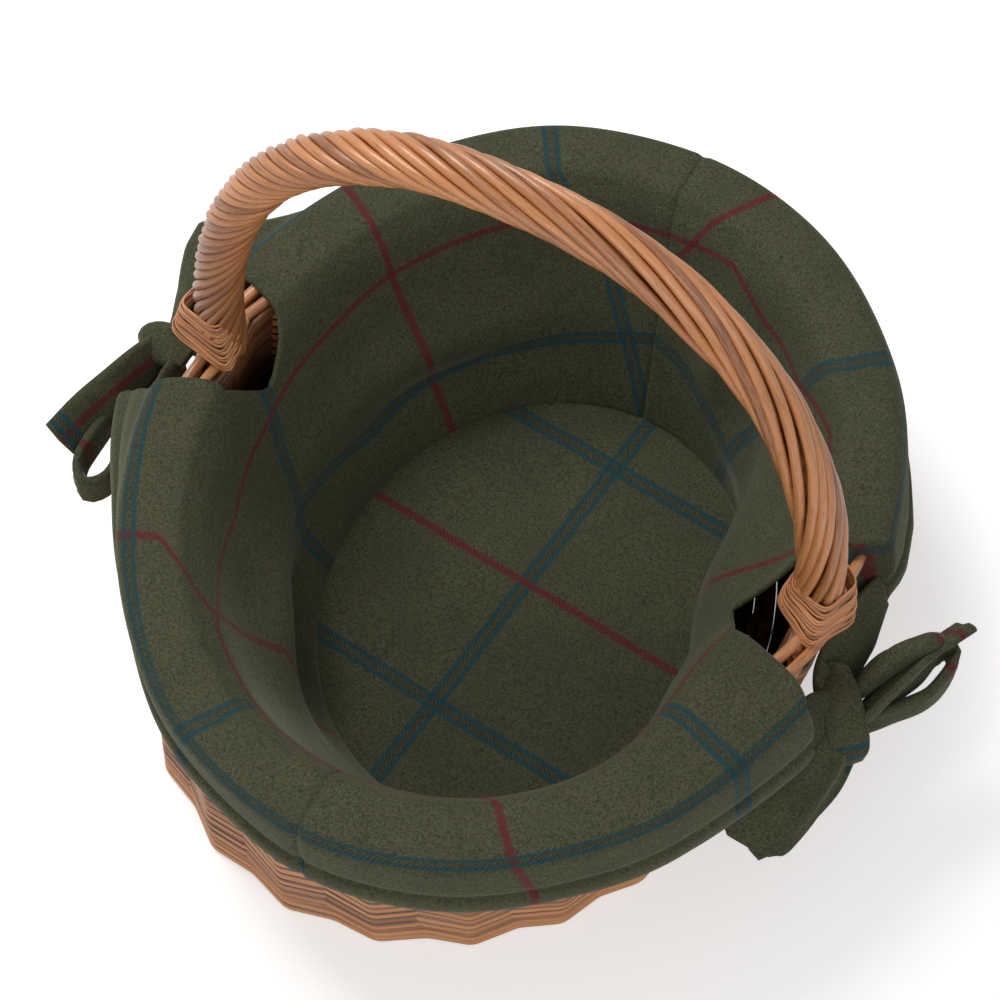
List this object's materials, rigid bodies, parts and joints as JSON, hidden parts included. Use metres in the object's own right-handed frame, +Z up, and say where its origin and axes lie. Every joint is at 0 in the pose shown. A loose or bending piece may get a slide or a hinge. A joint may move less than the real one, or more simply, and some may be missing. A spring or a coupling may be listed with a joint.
{
  "type": "wicker shopping basket",
  "caption": "Oval willow shopping basket with a fixed roped bow handle and a tied check wool lining folded over the rim as a cuff.",
  "frame": {"origin": "on the floor under the middle of the basket", "axes": "+Z up, X along the handle across the short side of the oval, Y along the long side"},
  "size_m": [0.4428, 0.4328, 0.384],
  "materials": {
    "woven_willow": "satin buff willow rods",
    "border_willow": "satin buff willow rods",
    "stake_willow": "matt willow",
    "handle_willow": "semi gloss buff willow rods",
    "split_willow": "satin split willow",
    "check_wool": "brushed wool tweed with a windowpane check"
  },
  "bodies": {
    "root": {"foot_wale": "woven_willow", "side_weave_lower": "woven_willow", "side_weave_upper": "woven_willow", "base_weave": "woven_willow", "rim_border": "border_willow", "side_stake_01": "stake_willow", "side_stake_02": "stake_willow", "side_stake_03": "stake_willow", "side_stake_04": "stake_willow", "side_stake_05": "stake_willow", "side_stake_06": "stake_willow", "side_stake_07": "stake_willow", "side_stake_08": "stake_willow", "side_stake_09": "stake_willow", "side_stake_10": "stake_willow", "side_stake_11": "stake_willow", "side_stake_12": "stake_willow", "side_stake_13": "stake_willow", "side_stake_14": "stake_willow", "side_stake_15": "stake_willow", "side_stake_16": "stake_willow", "side_stake_17": "stake_willow", "side_stake_18": "stake_willow", "side_stake_19": "stake_willow", "side_stake_20": "stake_willow", "side_stake_21": "stake_willow", "side_stake_22": "stake_willow", "side_stake_23": "stake_willow", "side_stake_24": "stake_willow", "base_cross_stick_1": "stake_willow", "base_cross_stick_2": "stake_willow", "base_cross_stick_3": "stake_willow", "base_cross_stick_4": "stake_willow", "base_cross_stick_5": "stake_willow", "base_long_stick_1": "stake_willow", "base_long_stick_2": "stake_willow", "base_long_stick_3": "stake_willow", "handle_core": "stake_willow", "handle_rope_strand_1": "handle_willow", "handle_rope_strand_2": "handle_willow", "handle_rope_strand_3": "handle_willow", "handle_rope_strand_4": "handle_willow", "handle_wrap_left": "split_willow", "handle_wrap_right": "split_willow", "lining_base_panel": "check_wool", "lining_side_left": "check_wool", "lining_side_right": "check_wool", "tie_left_front": "check_wool", "tie_left_back": "check_wool", "tie_right_front": "check_wool", "tie_right_back": "check_wool"}
  },
  "joints": []
}
